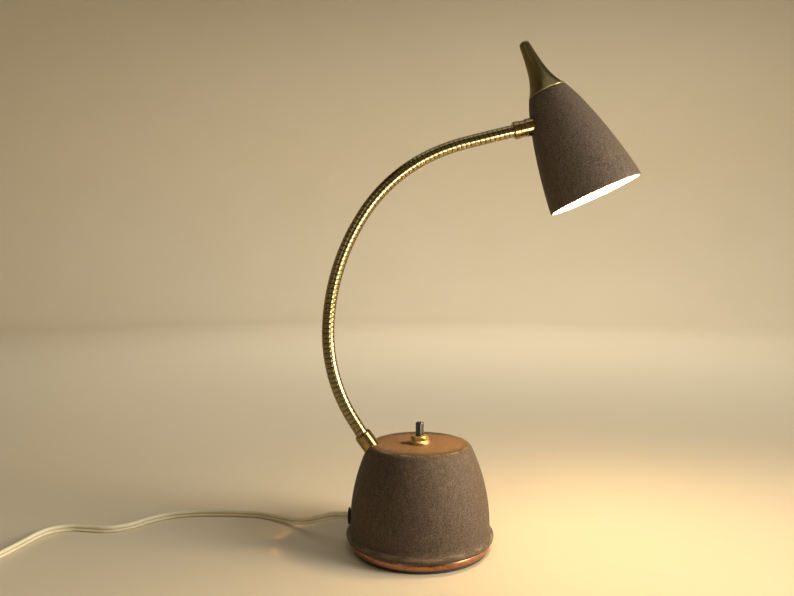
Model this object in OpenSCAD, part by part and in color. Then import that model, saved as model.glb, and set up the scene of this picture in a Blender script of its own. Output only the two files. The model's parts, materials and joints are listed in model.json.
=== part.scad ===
// Gooseneck desk lamp with a weighted base, a push-button switch and a bullet shade.
// Millimetres, +Z up, origin at the centre of the base's underside, neck bent in the XZ plane.

/* [Base] */
// Diameter over the rolled bead at the foot of the base
base_d = 127; // [122:0.5:132]
// Height of the flat top above the table
base_h = 88; // [86:0.5:94]
// Radius of the long arc that makes the side swell
side_r = 150; // [140:1:155]
// Thickness of the pressed steel shell
shell_wall = 1.2; // [0.8:0.1:1.6]
// Height of the copper trim ring's visible band
trim_h = 5; // [4:0.5:6]
// Thickness of the cast-iron ballast
ballast_h = 23; // [15:1:28]

/* [Switch] */
// Diameter of the push button
button_d = 7.2; // [6:0.1:7.4]
// Height of the push button above its nut
button_h = 12; // [8:0.5:14]
// Diameter of the dress ring under the nut
switch_ring_d = 17.6; // [16:0.2:20]

/* [Neck] */
// Length of the gooseneck between its collar and its ferrule
neck_length = 356; // [340:1:370]
// Diameter over the ridges of the gooseneck
neck_d = 11; // [10.6:0.1:11.4]
// Diameter of the brass collars at both ends
collar_d = 15.2; // [15:0.1:16]
// Ridges on one link of the gooseneck
ridges = 6; // [5:1:9]

/* [Shade] */
// Diameter of the shade's opening
shade_d = 81.5; // [78:0.5:86]
// Length of the shade along its axis
shade_h = 98; // [94:0.5:104]
// Thickness of the spun shade
shade_wall = 0.8; // [0.6:0.1:1.2]
// Length of the horn-shaped finial
finial_h = 50.5; // [48:0.5:55]
// Tilt of the shade's axis from vertical
shade_tilt = 23.6; // [15:0.2:30]
// Turn of the shade about the neck's end
shade_roll = 5.6; // [0:0.2:12]

/* [Cord] */
// Width of the flat twin cord
cord_w = 6.4; // [5.6:0.1:6.6]
// Thickness of the flat twin cord
cord_t = 3.2; // [2.8:0.1:3.4]

/* [Hidden] */
$fn = 64;

// Finishes, as the photo shows them
wrinkle_paint = [0.36, 0.29, 0.24];
brass = [0.80, 0.62, 0.28];
antique_brass = [0.52, 0.44, 0.22];
copper = [0.72, 0.45, 0.26];
iron = [0.20, 0.20, 0.21];
zinc = [0.70, 0.71, 0.72];
aluminium = [0.80, 0.80, 0.81];
rubber = [0.06, 0.06, 0.06];
bakelite = [0.12, 0.10, 0.09];
porcelain = [0.92, 0.91, 0.87];
ivory = [0.82, 0.78, 0.64];
frosted = [0.97, 0.95, 0.90];
felt = [0.10, 0.10, 0.09];

// Heights in the foot of the base, from the table up
pad_h = 2.6;
pad_r = base_d / 2 - 5;
// Felt left whole under the heads of the bolt and the screws
pad_skin = 0.5;
head_z = pad_skin + 0.3;
plate_h = 1.5;
plate_r = base_d / 2 - 4.3;
plate_top = pad_h + plate_h;
bolt_r = 3;
bolt_head_r = 7;
screw_r = 1.6;
screw_head_r = 3;
// Distance of the base plate's screws and their tabs from the middle
tab_r = 54;
trim_z = 3.2;
trim_r = base_d / 2 - 2.5;
trim_in = base_d / 2 - 4.1;
trim_flange = 1;
ballast_r = 49;
bead_r = 3;
lip_z = trim_z + trim_h;
bead_z = lip_z + bead_r;
bead_c = base_d / 2 - bead_r;

// The base's side: a tight shoulder, one long arc that ends almost upright, and a flare into the bead
shoulder_r = 5;
side_top_a = 26;
side_foot_a = 1;
foot_r = bead_c - 0.35;
shoulder_z = base_h - shoulder_r;
side_c = [foot_r - side_r * cos(side_foot_a), shoulder_z - (side_r - shoulder_r) * sin(side_top_a)];
shoulder_c = [side_c[0] + (side_r - shoulder_r) * cos(side_top_a), shoulder_z];
flare_r = 5;
flare_x = foot_r + flare_r;
flare_c = [flare_x, bead_z + sqrt(pow(bead_r + flare_r, 2) - pow(flare_x - bead_c, 2))];
flare_a = atan2(flare_c[1] - bead_z, flare_x - bead_c);

// Push-button switch, from the top of the base up
ring_h = 3.2;
nut_h = 3.6;
nut_d = 15.8;
nut_top = base_h + ring_h + nut_h;
bushing_r = 5;
// Depth of the bushing inside the switch's case
bushing_low = 12;
button_bore_r = button_d / 2 + 0.25;

// Points of an arc about c, and of a cubic curve through its four control points
function arc(c, r, a0, a1, n) =
    [for (i = [0:n]) let (a = a0 + (a1 - a0) * i / n) c + r * [cos(a), sin(a)]];
function curve(p, n) =
    [for (i = [0:n]) let (t = i / n, s = 1 - t)
        s * s * s * p[0] + 3 * s * s * t * p[1] + 3 * s * t * t * p[2] + t * t * t * p[3]];
function reversed(list) = [for (i = [len(list) - 1:-1:0]) list[i]];
// The same curve moved towards the axis by t, for the inside of a spun wall
function inset(list, t) = [for (p = list) [max(p[0] - t, 0), p[1]]];

// Outline of the base from the top's centre to the flare, t inside the outer face
function base_side(t) = concat(
    [[0, base_h - t]],
    arc(shoulder_c, shoulder_r - t, 90, side_top_a, 6),
    arc(side_c, side_r - t, side_top_a - 2, side_foot_a, 10)
);

// Neck: tangent angle from vertical at stations along its length
neck_bends = [[0, -38], [96, 1], [205, 33.5], [296, 70.5], [318, 76.5]];
link_count = 13;
link_l = neck_length / link_count;
collar_tilt = -36;
collar_top = [-50.2, 0, 96.3];
collar_seat = 8;
collar_l = 24;
groove_r = neck_d / 2 - 0.5;
ball_r = 3.7;
socket_r = 4.0;
ball_bore_r = 1.6;
stem_r = 2.4;
// The socket's mouth lies this far below the ball's centre
mouth = 2.2;
link_gap = 1.4;
neck_bore_r = 3.2;
neck_nipple_r = 5;
// Distance of the saddle washer's lower face from the collar's top
saddle_at = 27;

function link_angle(k) = lookup((k - 0.5) * link_l, neck_bends);
function along(a) = [sin(a), 0, cos(a)];
function pivot(k) = k == 0 ? collar_top : pivot(k - 1) + link_l * along(link_angle(k));

// Head: the ferrule's axis carries on from the last link and meets the shade's axis
head_angle = link_angle(link_count);
head_axis = along(head_angle);
neck_end = pivot(link_count);
// Places along the ferrule's axis, measured from the end of the last link
ferrule_start = 1;
link_seat = 4;
chamber_end = 6.6;
ferrule_end = 10;
swivel_gap = 0.4;
head_nut_at = 19.4;
shade_axis_at = 42.4;
shade_joint = 26.5;
nipple_r = 4.6;
nipple_bore_r = 3;
head_place = neck_end + shade_axis_at * head_axis;

// Shade and finial outlines as [radius, distance below the joint], and the bulb's
finial_r = 17;
shade_curve = [[finial_r, 0], [24.7, 0.143 * shade_h], [36.6, 0.616 * shade_h], [shade_d / 2, shade_h]];
hem_r = 0.9;
finial_tip_r = 4.6;
finial_dome = 3.4;
finial_curve = [
    [finial_r, 0], [8, -0.25 * finial_h], [6.6, -0.6 * finial_h], [finial_tip_r, finial_dome - finial_h]
];
bulb_r = 23;
bulb_base_r = 12.9;
bulb_neck_z = 44;
bulb_tip_z = 94;
stud_r = 2.9;
bracket_z = shade_wall + 3;
socket_z = bracket_z + 1.2;
socket_h = 38;
socket_r_out = 16;
socket_bore_r = 13.6;
// Depth of the socket's contact below the bracket
contact_z = socket_z + 11;

// Cord: where it comes out of the base, then its points over the table
grommet_z = 25;
grommet_r = 7;
grommet_neck_r = 4.8;
grommet_x = 59.6;
floor_z = 3.4;
coil_z = 4.3;
cord_route = [
    [-54, 0, 25], [-66, 0, 25], [-76, 4, 23.5], [-88, 13, 18], [-100, 25, 11.5], [-112, 38, 6.5],
    [-124, 48, 4.2], [-138, 57, floor_z], [-152, 63, floor_z], [-171, 66, floor_z], [-190, 67, floor_z],
    [-206, 67, floor_z], [-221, 65, floor_z], [-237, 60, floor_z], [-251, 49, floor_z],
    [-264, 34, floor_z], [-280, 26, floor_z], [-299, 28, floor_z], [-317, 30, floor_z],
    [-331, 24, floor_z], [-338, 12, floor_z], [-342, -6, floor_z], [-347, -27, floor_z],
    [-352, -45, 3.8], [-356.4, -61, coil_z]
];
plug_route = [[-433.5, -49, 10.9], [-433.5, -36, 10.6], [-433.5, -22, 9.6], [-433, -8, 8.2], [-433, 4, 7.5]];
coil_place = [-394, -49];
coil_in = 30.7;
coil_out = 41.3;
coil_low = 1;
coil_high = 14;
tie_angle = 115;
tie_w = 9;
plug_place = [-433, 4, 0];
plug_w = 25;
plug_t = 15;
plug_l = 30;
// Length over which the plug widens from the cord
plug_taper = 12;
blade_l = 16;
blade_t = 1.5;
blade_w = 6.4;
blade_gap = 12.7;
blade_root = 8;

// Base pieces

module screw_places() {
    for (i = [0:2]) rotate([0, 0, 120 * i]) translate([tab_r, 0, 0]) children();
}

module felt_pad() {
    color(felt) difference() {
        cylinder(h = pad_h, r = pad_r);
        translate([0, 0, pad_skin]) cylinder(h = pad_h, r = bolt_head_r + 2);
        screw_places() translate([0, 0, pad_skin]) cylinder(h = pad_h, r = screw_head_r + 0.7);
    }
}

module base_plate() {
    color(zinc) difference() {
        translate([0, 0, pad_h]) cylinder(h = plate_h, r = plate_r);
        cylinder(h = 2 * plate_top, r = bolt_r + 0.2);
        screw_places() cylinder(h = 2 * plate_top, r = screw_r + 0.3);
    }
}

module ballast_weight() {
    color(iron) translate([0, 0, plate_top]) difference() {
        rotate_extrude() polygon([
            [0, 0], [ballast_r - 1, 0], [ballast_r, 1], [ballast_r - 1.5, ballast_h - 2],
            [ballast_r - 3.5, ballast_h], [0, ballast_h]
        ]);
        translate([0, 0, -1]) cylinder(h = ballast_h + 2, r = bolt_r + 0.2);
    }
}

module ballast_bolt() {
    nut_and_spare = 9;
    color(zinc) union() {
        translate([0, 0, head_z]) cylinder(h = pad_h - head_z, r = bolt_head_r);
        translate([0, 0, head_z]) cylinder(h = plate_top - head_z + ballast_h + nut_and_spare, r = bolt_r);
    }
}

module ballast_nut() {
    h = 5;
    color(zinc) translate([0, 0, plate_top + ballast_h]) difference() {
        cylinder(h = h, d = 11.5, $fn = 6);
        translate([0, 0, -1]) cylinder(h = h + 2, r = bolt_r);
    }
}

module base_plate_screws() {
    screw_l = 8;
    color(zinc) screw_places() union() {
        translate([0, 0, head_z]) cylinder(h = pad_h - head_z, r = screw_head_r);
        translate([0, 0, head_z]) cylinder(h = screw_l, r = screw_r);
    }
}

module trim_ring() {
    flange_top = plate_top + trim_flange;
    flange_in = trim_in - 3.6;
    color(copper) rotate_extrude() polygon([
        [trim_in, trim_z], [trim_r - 0.3, trim_z], [trim_r, trim_z + 0.5], [trim_r, lip_z], [trim_in, lip_z],
        [trim_in, flange_top], [flange_in, flange_top], [flange_in, plate_top], [trim_in, plate_top]
    ]);
}

// Closed solid bounded by the base's outline, t inside its outer face
module base_form(t, low) {
    rotate_extrude() polygon(concat([[0, low]], base_side(t), [[foot_r - t, low]]));
}

module base_shell() {
    color(wrinkle_paint) difference() {
        union() {
            rotate_extrude() polygon(concat(
                [[0, lip_z]], base_side(0),
                arc(flare_c, flare_r, 180, 180 + flare_a, 6),
                [[bead_c, bead_z], [bead_c, lip_z]]
            ));
            rotate_extrude() translate([bead_c, bead_z]) circle(r = bead_r);
        }
        base_form(shell_wall, -1);
        cylinder(h = base_h + 10, r = bushing_r + 0.2);
        neck_seat() translate([0, 0, -collar_l - 20]) cylinder(h = collar_l + 20, r = neck_nipple_r + 0.3);
        translate([-base_d, 0, grommet_z]) rotate([0, 90, 0]) cylinder(h = base_d, r = grommet_neck_r + 0.1);
    }
    color(wrinkle_paint) shell_tabs();
}

// Three angle tabs that the base plate's screws bite into
module shell_tabs() {
    tab_w = 12;
    tab_t = 2;
    leg_h = 14;
    // From the screw to the inner end of the foot, and to the wall
    reach_in = 4;
    reach_out = trim_in - tab_r;
    intersection() {
        screw_places() translate([0, 0, plate_top + trim_flange]) difference() {
            union() {
                translate([-reach_in, -tab_w / 2, 0]) cube([reach_out + reach_in, tab_w, tab_t]);
                translate([reach_out - tab_t, -tab_w / 2, 0]) cube([tab_t, tab_w, leg_h]);
            }
            translate([0, 0, -1]) cylinder(h = leg_h, r = screw_r);
        }
        // The legs follow the wall, just inside the trim ring
        cylinder(h = base_h, r = trim_in - 0.1);
    }
}

module cord_grommet() {
    neck = grommet_neck_r;
    bore = cord_w / 2 + 0.1;
    lip_r = 0.9;
    // Distance from the wall's middle to the middle of the outer lip
    lip_at = 1.5;
    face = lip_at + lip_r;
    color(rubber) translate([-grommet_x, 0, grommet_z]) rotate([0, -90, 0]) rotate_extrude() polygon(concat(
        [[bore, -3.5], [neck + 1.2, -3.5], [neck + 1.6, -2.6], [neck, -1.3], [neck, lip_at - lip_r]],
        arc([grommet_r - lip_r, lip_at], lip_r, -90, 90, 6),
        [[bore + 0.7, face], [bore, face - 0.5]]
    ));
}

// Push-button switch, held in the top by its ring and nut

module switch_body() {
    case_h = 19;
    lug = [2, 2, 5];
    color(bakelite) translate([0, 0, base_h - shell_wall]) difference() {
        union() {
            translate([0, 0, -case_h]) cylinder(h = case_h, r = 11);
            for (x = [-7, 5]) translate([x, -lug[1] / 2, -case_h - lug[2]]) cube(lug + [0, 0, 0.1]);
        }
        translate([0, 0, -bushing_low]) cylinder(h = bushing_low + 1, r = bushing_r);
    }
}

module switch_bushing() {
    low = base_h - shell_wall - bushing_low;
    color(brass) translate([0, 0, low]) difference() {
        cylinder(h = nut_top - low, r = bushing_r);
        translate([0, 0, 2]) cylinder(h = nut_top - low, r = button_bore_r);
    }
}

module switch_ring() {
    outer = switch_ring_d / 2;
    color(brass) translate([0, 0, base_h]) rotate_extrude() polygon(concat(
        [[bushing_r, 0], [outer - 0.3, 0], [outer, 0.4]],
        arc([outer - 1, 1.4], 1, 0, 70, 3),
        [[outer - 1.6, ring_h], [bushing_r, ring_h]]
    ));
}

module switch_nut() {
    color(brass) translate([0, 0, base_h + ring_h]) difference() {
        intersection() {
            cylinder(h = nut_h, d = nut_d, $fn = 6);
            rotate_extrude() polygon([
                [0, 0], [nut_d / 2, 0], [nut_d / 2, nut_h - 1], [nut_d / 2 - 1.3, nut_h], [0, nut_h]
            ]);
        }
        translate([0, 0, -1]) cylinder(h = nut_h + 2, r = bushing_r);
    }
}

module push_button() {
    low = base_h - 4;
    high = nut_top + button_h;
    edge_r = 1.2;
    color(bakelite) rotate_extrude() polygon(concat(
        [[0, low], [button_d / 2, low]],
        arc([button_d / 2 - edge_r, high - edge_r - 0.4], edge_r, 0, 80, 5),
        [[0, high]]
    ));
}

// Neck pieces

// Moves into the collar's frame: origin at the collar's top, +Z along the neck
module neck_seat() {
    translate(collar_top) rotate([0, collar_tilt, 0]) children();
}

module neck_collar() {
    outer = collar_d / 2;
    bore = neck_d / 2 + 0.7;
    dimple_r = 1.1;
    // The dimple's turn towards the left, and how far it lies below the collar's top
    dimple_turn = -21;
    dimple_at = 0.8 * collar_seat;
    color(brass) difference() {
        neck_seat() difference() {
            rotate_extrude() polygon([
                [neck_nipple_r, -collar_l], [outer, -collar_l], [outer, -1.2], [outer - 0.8, 0],
                [bore, 0], [bore, -collar_seat], [neck_nipple_r, -collar_seat]
            ]);
            // Dimple that pins the neck in its collar
            rotate([0, 0, dimple_turn]) translate([0, -outer - 0.3, -dimple_at]) sphere(r = dimple_r);
        }
        base_form(0, 0);
    }
}

module neck_nipple() {
    low = collar_l + 12;
    color(zinc) neck_seat() translate([0, 0, -low]) difference() {
        cylinder(h = low - collar_seat, r = neck_nipple_r);
        translate([0, 0, -1]) cylinder(h = low, r = neck_bore_r);
    }
}

module neck_saddle_washer() {
    $fn = 180;
    color(zinc) intersection() {
        neck_seat() translate([0, 0, -saddle_at]) difference() {
            cylinder(h = saddle_at, r = 8.5);
            translate([0, 0, -1]) cylinder(h = saddle_at + 2, r = neck_nipple_r);
        }
        base_form(shell_wall, 0);
    }
}

module neck_locknut() {
    h = 4;
    color(zinc) neck_seat() translate([0, 0, -saddle_at - h]) difference() {
        cylinder(h = h, d = 17, $fn = 6);
        translate([0, 0, -1]) cylinder(h = h + 2, r = neck_nipple_r);
    }
}

// Ridged outline that starts at a groove, with a whole ridge every pitch
function ridge_line(low, count, pitch) = let (steps = 6)
    [for (i = [0:count * steps]) let (u = i / steps)
        [groove_r + (neck_d / 2 - groove_r) * pow(abs(sin(180 * u)), 0.25), low + pitch * u]];

// Cuts away what lies beyond a plane: side 1 above it, side -1 below it
module beyond(side) {
    size = 40;
    translate([-size / 2, -size / 2, side > 0 ? 0 : -size]) cube(size);
}

// One link of the neck: ridged tube with mitred ends, a socket below and a hollow ball above
module link(k) {
    first = k == 1;
    last = k == link_count;
    pitch = link_l / ridges;
    spare = 2 * pitch;
    start = -mouth - link_gap / 2 - spare;
    low_tilt = first ? 0 : (link_angle(k - 1) - link_angle(k)) / 2;
    high_tilt = last ? 0 : (link_angle(k + 1) - link_angle(k)) / 2;
    low = first ? 0.5 - collar_seat : -mouth;
    high = last ? link_seat : -mouth - link_gap;
    mouth_r = sqrt(socket_r * socket_r - mouth * mouth);
    outline = ridge_line(start, ridges + 4, pitch);
    color(brass) translate(pivot(k - 1)) rotate([0, link_angle(k), 0]) difference() {
        union() {
            difference() {
                rotate_extrude() polygon(concat([[0, start]], outline, [[0, start + link_l + 2 * spare]]));
                rotate([0, low_tilt, 0]) translate([0, 0, low]) beyond(-1);
                translate([0, 0, link_l]) rotate([0, high_tilt, 0]) translate([0, 0, high]) beyond(1);
            }
            if (!last) translate([0, 0, link_l]) rotate([0, high_tilt, 0]) {
                translate([0, 0, high - 1]) cylinder(h = 1 - high, r = stem_r);
                sphere(r = ball_r);
            }
        }
        if (!first) rotate([0, low_tilt, 0]) {
            sphere(r = socket_r);
            translate([0, 0, -mouth - 1]) cylinder(h = mouth + 1, r = mouth_r);
        }
        translate([0, 0, min(low, 0)]) cylinder(h = link_l - 6 - min(low, 0), r = neck_bore_r);
        cylinder(h = 2 * link_l, r = ball_bore_r);
    }
}

// Head pieces

// Moves onto the ferrule's axis: origin at the end of the last link, +Z towards the shade
module ferrule_seat() {
    translate(neck_end) rotate([0, head_angle, 0]) children();
}

// Moves into the shade's frame: origin on the seam between shade and finial, +Z up its axis
module head_frame() {
    translate(head_place) rotate(a = -shade_roll, v = head_axis) rotate([0, -shade_tilt, 0])
        translate([0, 0, shade_joint]) children();
}

// Draws [radius, depth below the seam] outlines as a solid of revolution in the shade's frame
module spun(points) {
    head_frame() rotate_extrude() polygon([for (p = points) [p[0], -p[1]]]);
}

module upper_ferrule() {
    outer = collar_d / 2;
    waist = outer - 0.4;
    bore = neck_d / 2 + 0.1;
    color(brass) ferrule_seat() rotate_extrude() polygon([
        [bore, ferrule_start], [outer - 0.5, ferrule_start], [outer, ferrule_start + 0.6],
        [outer, 6], [waist, 6.8], [waist, ferrule_end], [nipple_r + 0.3, ferrule_end],
        [nipple_r + 0.3, chamber_end], [bore + 0.4, chamber_end], [bore + 0.4, link_seat], [bore, link_seat]
    ]);
}

module shade_collar() {
    start = ferrule_end + swivel_gap;
    end = start + 16;
    outer = collar_d / 2 + 0.2;
    waist = outer - 0.6;
    color(brass) difference() {
        ferrule_seat() rotate_extrude() polygon([
            [nipple_r, start], [waist, start], [waist, start + 1], [outer, start + 1.6],
            [outer, end], [nipple_r, end]
        ]);
        shade_form(0);
    }
}

module head_nipple() {
    flare_low = link_seat + 0.5;
    flare_high = chamber_end - 0.4;
    nipple_l = 18.4;
    color(zinc) ferrule_seat() translate([0, 0, flare_low]) difference() {
        union() {
            cylinder(h = flare_high - flare_low, r = neck_d / 2 + 0.1);
            cylinder(h = nipple_l, r = nipple_r);
        }
        translate([0, 0, -1]) cylinder(h = nipple_l + 2, r = nipple_bore_r);
    }
}

// Closed solid bounded by the shade's outline, t inside its outer face
module shade_form(t) {
    past = shade_h + 1;
    spun(concat([[0, t]], inset(curve(shade_curve, 16), t), [[shade_d / 2 - t, past], [0, past]]));
}

module head_saddle_washer() {
    $fn = 180;
    color(zinc) intersection() {
        ferrule_seat() translate([0, 0, ferrule_end]) difference() {
            cylinder(h = head_nut_at - ferrule_end, r = 7);
            translate([0, 0, -1]) cylinder(h = head_nut_at, r = nipple_r);
        }
        shade_form(shade_wall);
    }
}

module head_locknut() {
    h = 2.8;
    color(zinc) ferrule_seat() translate([0, 0, head_nut_at]) difference() {
        cylinder(h = h, d = 14, $fn = 6);
        translate([0, 0, -1]) cylinder(h = h + 2, r = nipple_r);
    }
}

module shade() {
    outer = curve(shade_curve, 16);
    crown = [[finial_r - shade_wall, shade_wall], [0, shade_wall]];
    color(wrinkle_paint) difference() {
        union() {
            spun(concat([[0, 0]], outer, reversed(inset(outer, shade_wall)), crown));
            // Hem rolled inwards round the opening
            head_frame() translate([0, 0, -shade_h]) rotate_extrude()
                translate([shade_d / 2 - hem_r, 0]) circle(r = hem_r);
        }
        head_frame() translate([0, 0, -5]) cylinder(h = 10, r = stud_r + 0.1);
        ferrule_seat() translate([0, 0, ferrule_end]) cylinder(h = 15, r = nipple_r + 0.2);
    }
}

module finial() {
    tip = finial_h - finial_dome;
    dome = [for (a = [18:18:90]) [finial_tip_r * cos(a), -tip - finial_dome * sin(a)]];
    color(antique_brass) difference() {
        spun(concat([[0, 0]], curve(finial_curve, 14), dome));
        head_frame() translate([0, 0, -1]) cylinder(h = 15, r = stud_r);
    }
}

module finial_stud() {
    color(zinc) head_frame() translate([0, 0, -6]) cylinder(h = 18, r = stud_r);
}

module finial_nut() {
    h = bracket_z - shade_wall;
    color(zinc) head_frame() translate([0, 0, -bracket_z]) difference() {
        cylinder(h = h, d = 11.5, $fn = 6);
        translate([0, 0, -1]) cylinder(h = h + 2, r = stud_r);
    }
}

module socket_bracket() {
    outer = 12;
    color(zinc) spun([[stud_r, bracket_z], [outer, bracket_z], [outer, socket_z], [stud_r, socket_z]]);
}

module socket_body() {
    end = socket_z + socket_h;
    waist = 14;
    color(porcelain) difference() {
        spun(concat(
            [[0, socket_z], [waist - 1, socket_z], [waist, socket_z + 1]],
            curve([
                [waist, contact_z - 3], [waist, contact_z],
                [socket_r_out, contact_z], [socket_r_out, contact_z + 3]
            ], 5),
            [[socket_r_out, end - 1], [socket_r_out - 1, end], [socket_bore_r, end],
             [socket_bore_r, contact_z], [0, contact_z]]
        ));
        head_frame() translate([0, 0, -socket_z - 3]) cylinder(h = 5, r = stud_r + 0.3);
    }
}

module socket_shell() {
    inner = socket_bore_r - 0.5;
    low = contact_z + 1;
    end = socket_z + socket_h - 1;
    color(brass) spun([[inner, low], [socket_bore_r, low], [socket_bore_r, end], [inner, end]]);
}

module socket_contact() {
    color(brass) spun([[0, contact_z], [5, contact_z], [4, contact_z + 2], [0, contact_z + 2]]);
}

module bulb_contact() {
    color(zinc) spun([[0, contact_z + 2], [3.5, contact_z + 2], [4.5, contact_z + 4], [0, contact_z + 4]]);
}

module bulb_base() {
    low = contact_z + 4;
    inner = bulb_base_r - 1;
    color(aluminium) spun([
        [0, low], [8, low], [bulb_base_r, low + 3], [bulb_base_r, bulb_neck_z],
        [inner, bulb_neck_z], [inner, low + 4], [7.5, low + 1], [0, low + 1]
    ]);
}

// Outline of the bulb from its neck to its tip, t inside the glass
function bulb_line(t) = let (ball_z = bulb_tip_z - bulb_r) concat(
    [[12 - t, bulb_neck_z]],
    curve([
        [12.4 - t, bulb_neck_z + 4], [14 - t, bulb_neck_z + 14],
        [bulb_r - t, ball_z - 14], [bulb_r - t, ball_z]
    ], 8),
    [for (a = [15:15:90]) [(bulb_r - t) * cos(a), ball_z + (bulb_r - t) * sin(a)]]
);

module bulb_glass() {
    glass = 0.8;
    color(frosted) spun(concat(bulb_line(0), reversed(bulb_line(glass))));
}

// Cord and plug

// Ring of points round one point of the route: an oval that stands on edge
function cord_ring(p, way, sides) =
    let (flat = [way[0], way[1], 0], side = [-flat[1], flat[0], 0] / norm(flat))
    [for (i = [0:sides - 1]) let (a = 360 * i / sides)
        p + side * cord_t / 2 * cos(a) + [0, 0, cord_w / 2 * sin(a)]];

function route_way(list, i) = list[min(i + 1, len(list) - 1)] - list[max(i - 1, 0)];

// Route rounded between its points, so that the swept tube bends and does not kink
function smooth_point(list, i, t) = let (
        p0 = list[max(i - 1, 0)], p1 = list[i], p2 = list[i + 1], p3 = list[min(i + 2, len(list) - 1)])
    0.5 * (2 * p1 + (p2 - p0) * t + (2 * p0 - 5 * p1 + 4 * p2 - p3) * pow(t, 2)
        + (3 * p1 - p0 - 3 * p2 + p3) * pow(t, 3));
function smooth_route(list) =
    concat([for (i = [0:len(list) - 2]) for (t = [0, 0.5]) smooth_point(list, i, t)], [list[len(list) - 1]]);

module swept_cord(list) {
    sides = 8;
    rings = len(list);
    points = [for (i = [0:rings - 1]) each cord_ring(list[i], route_way(list, i), sides)];
    faces = concat(
        [[for (j = [0:sides - 1]) j]],
        [for (i = [0:rings - 2]) for (j = [0:sides - 1])
            let (a = i * sides + j, b = i * sides + (j + 1) % sides)
            each [[a, a + sides, b + sides], [a, b + sides, b]]],
        [[for (j = [sides - 1:-1:0]) (rings - 1) * sides + j]]
    );
    polyhedron(points, faces);
}

module supply_cord() {
    color(ivory) {
        swept_cord(smooth_route(cord_route));
        swept_cord(smooth_route(plug_route));
    }
}

module cord_coil() {
    color(ivory) translate([coil_place[0], coil_place[1], coil_low]) difference() {
        cylinder(h = coil_high - coil_low, r = coil_out);
        translate([0, 0, -1]) cylinder(h = coil_high, r = coil_in);
    }
}

module coil_tie() {
    t = 0.8;
    gap = 0.4;
    w = coil_out - coil_in + 2 * gap;
    h = coil_high - coil_low + gap;
    color(bakelite) translate([coil_place[0], coil_place[1], 0]) rotate([0, 0, tie_angle])
        translate([coil_in - gap, -tie_w / 2, coil_low]) difference() {
            translate([-t, 0, -t]) cube([w + 2 * t, tie_w, h + 2 * t]);
            translate([0, -1, 0]) cube([w, tie_w + 2, h]);
        }
}

// Two round rods side by side, the plug's section, from one depth to another
module plug_sides(from, to) {
    for (x = [-1, 1]) translate([x * (plug_w - plug_t) / 2, 0, from])
        cylinder(h = to - from, d = plug_t, $fn = 32);
}

// Moves to the root of one blade
module blade_places() {
    for (x = [-1, 1]) translate([x * blade_gap / 2, plug_l - blade_root, (plug_t - blade_w) / 2])
        translate([-blade_t / 2, 0, 0]) children();
}

module plug_body() {
    color(ivory) translate(plug_place) difference() {
        translate([0, 0, plug_t / 2]) rotate([-90, 0, 0]) union() {
            hull() {
                cylinder(h = 1, d = plug_t * 0.62, $fn = 32);
                plug_sides(plug_taper, plug_taper + 1);
            }
            hull() plug_sides(plug_taper, plug_l);
        }
        blade_places() cube([blade_t, 2 * blade_root, blade_w]);
    }
}

module plug_blades() {
    hole_r = 1.6;
    color(brass) translate(plug_place) blade_places() difference() {
        cube([blade_t, blade_l + blade_root, blade_w]);
        translate([-1, blade_l + blade_root / 2, blade_w / 2]) rotate([0, 90, 0])
            cylinder(h = blade_t + 2, r = hole_r);
    }
}

felt_pad();
base_plate();
ballast_weight();
ballast_bolt();
ballast_nut();
base_plate_screws();
trim_ring();
base_shell();
cord_grommet();
switch_body();
switch_bushing();
switch_ring();
switch_nut();
push_button();
neck_collar();
neck_nipple();
neck_saddle_washer();
neck_locknut();
link(1);  // neck_link_01
link(2);  // neck_link_02
link(3);  // neck_link_03
link(4);  // neck_link_04
link(5);  // neck_link_05
link(6);  // neck_link_06
link(7);  // neck_link_07
link(8);  // neck_link_08
link(9);  // neck_link_09
link(10);  // neck_link_10
link(11);  // neck_link_11
link(12);  // neck_link_12
link(13);  // neck_link_13
upper_ferrule();
shade_collar();
head_nipple();
head_saddle_washer();
head_locknut();
shade();
finial();
finial_stud();
finial_nut();
socket_bracket();
socket_body();
socket_shell();
socket_contact();
bulb_base();
bulb_glass();
bulb_contact();
supply_cord();
cord_coil();
coil_tie();
plug_body();
plug_blades();
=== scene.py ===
# %% [markdown]
# # Dressing a gooseneck desk lamp
# The lamp's solids, sizes and joints come from CAD. This lesson gives them their looks: wrinkle paint,
# wound brass, a flat twin cord and a lit bulb. Every piece is made in metres in the CAD's own frame, so
# nothing has to be moved afterwards, and every piece but the stretches of the neck rides on the body that
# carries it.

# %% Load the lamp's solids
import json
import math

import bmesh
import bpy
from mathutils import Matrix, Vector

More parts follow.
